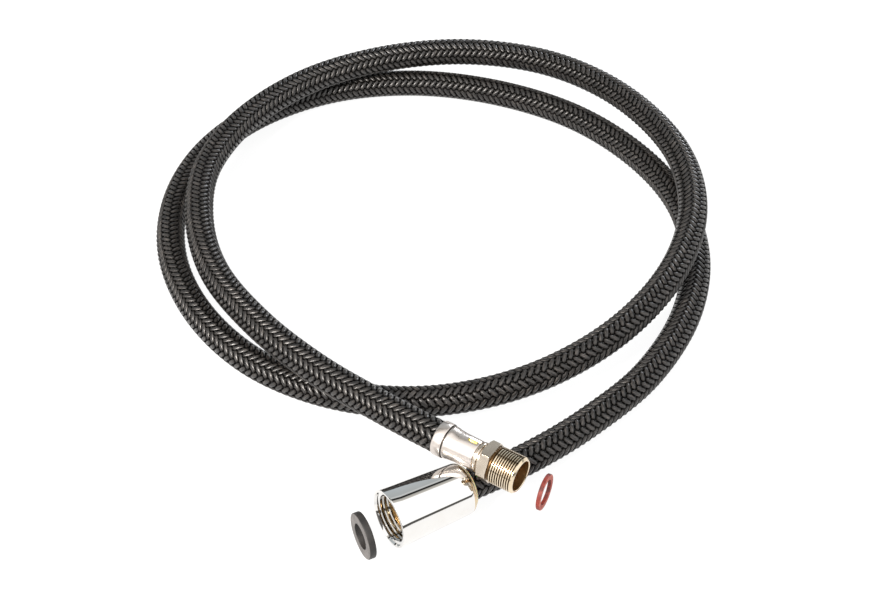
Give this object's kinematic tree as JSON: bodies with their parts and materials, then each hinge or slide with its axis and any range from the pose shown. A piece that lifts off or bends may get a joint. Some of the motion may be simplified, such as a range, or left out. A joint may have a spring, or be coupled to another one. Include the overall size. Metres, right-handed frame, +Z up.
{
  "type": "braided supply line",
  "caption": "Flexible braided supply hose laid in two loose turns, with a fine-thread male end, a chrome swivel nut and two loose sealing washers",
  "frame": {"origin": "on the floor under the middle of the laid-out hose's bounding box", "axes": "+Z up, +Y away from the two end fittings, +X to the right seen from the fittings' side"},
  "size_m": [0.2559, 0.3262, 0.034],
  "materials": {
    "braid": "black nylon yarn, plaited flat in a herringbone",
    "liner": "plain extruded rubber",
    "ferrule_steel": "stainless steel, crimped, satin",
    "fitting_brass": "machined brass with a thin satin nickel plate",
    "red_fibre": "vulcanised red fibre, punched",
    "tail_brass": "bare machined brass",
    "bush_nylon": "natural nylon",
    "nut_chrome": "polished and chrome plated",
    "washer_rubber": "matt black rubber"
  },
  "bodies": {
    "hose": {"braid_sleeve": "braid", "inner_tube": "liner", "male_ferrule": "ferrule_steel", "male_fitting": "fitting_brass", "swivel_tail": "tail_brass", "nut_ferrule": "ferrule_steel"},
    "bush": {"nut_bush": "bush_nylon"},
    "nut": {"cone_nut": "nut_chrome"},
    "rubber_washer": {"rubber_washer": "washer_rubber"},
    "fibre_washer": {"fibre_washer": "red_fibre"}
  },
  "joints": [
    {"name": "nut_slide", "type": "slide", "parent": "hose", "child": "bush", "axis": [-0.8564, -0.5146, 0.0419], "range_m": [0, 0.0029]},
    {"name": "nut_spin", "type": "hinge", "parent": "bush", "child": "nut", "pos_m": [0, -0.13923, 0.01132], "axis": [-0.8564, -0.5146, 0.0419], "continuous": true},
    {"name": "rubber_washer_slide", "type": "slide", "parent": "hose", "child": "rubber_washer", "axis": [0.8103, 0.4869, 0.3262], "range_m": [0, 0.0086]},
    {"name": "fibre_washer_slide", "type": "slide", "parent": "hose", "child": "fibre_washer", "axis": [-0.3561, -0.4305, 0.8294], "range_m": [0, 0.0229]}
  ]
}
